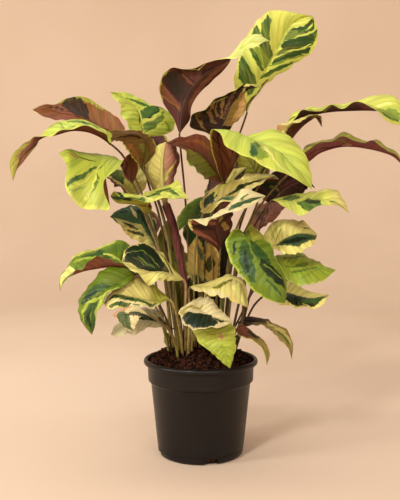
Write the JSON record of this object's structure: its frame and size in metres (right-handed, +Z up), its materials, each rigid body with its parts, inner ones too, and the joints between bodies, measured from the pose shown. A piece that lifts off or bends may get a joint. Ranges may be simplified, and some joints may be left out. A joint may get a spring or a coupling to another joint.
{
  "type": "potted calathea",
  "caption": "Leafy calathea with long-stalked variegated leaves, rooted in potting mix in a tapered dark plastic nursery pot.",
  "frame": {"origin": "centre of the pot's flat underside, on the surface the pot stands on", "axes": "+Z up along the pot's axis; -Y faces the side the plant is seen from; +X to the right of that view"},
  "size_m": [0.5812, 0.3891, 0.6614],
  "materials": {
    "pot": "satin charcoal polypropylene",
    "potting_mix": "loose dark bark and peat",
    "yellow_green": "thin satin leaf, yellow-green with dark green marks",
    "green": "thin satin leaf, mid green with darker bars",
    "cream_green": "thin satin leaf, cream with dark green marks",
    "purple_back": "thin satin leaf seen from its purple-brown underside"
  },
  "bodies": {
    "root": {"pot": "pot", "potting_mix": "potting_mix", "copper_arch": "purple_back", "far_left_arch": "purple_back", "upright_stripes": "yellow_green", "olive_fold": "purple_back", "half_unfurled": "yellow_green", "dark_twist": "purple_back", "striped_bronze": "purple_back", "wavy_edge_on": "yellow_green", "purple_arch": "purple_back", "top_right_crown": "yellow_green", "centre_chartreuse": "yellow_green", "right_high_arch": "purple_back", "right_low_arch": "purple_back", "small_brown_arch": "purple_back", "right_patch": "yellow_green", "dark_underside": "purple_back", "olive_back": "purple_back", "cream_striped": "cream_green", "small_striped": "cream_green", "boat_leaf": "purple_back", "green_drop": "green", "hanging_heart": "green", "right_cream_band": "cream_green", "right_plain_green": "green", "right_low_band": "cream_green", "inner_cream_left": "cream_green", "inner_cream_right": "cream_green", "yellow_wave": "cream_green", "dark_cream_front": "cream_green", "front_chartreuse": "yellow_green", "right_drip_high": "purple_back", "right_drip_low": "purple_back", "tiny_behind": "yellow_green", "left_mid_arch": "green", "left_low_hang": "green", "left_dark_round": "cream_green", "left_pale_stripe": "cream_green", "left_curl": "cream_green", "left_pale_low": "cream_green", "left_dark_cream": "cream_green", "left_chartreuse_flap": "yellow_green", "left_back_green": "green", "back_high_left": "purple_back", "back_high_right": "purple_back", "back_centre": "green", "back_mid_left": "green", "back_purple_right": "purple_back", "back_low_centre": "green", "back_low_left": "green", "back_low_right": "green", "dark_behind_boat": "green", "inner_low_centre": "green", "inner_low_right": "green", "inner_low_left": "green"}
  },
  "joints": []
}
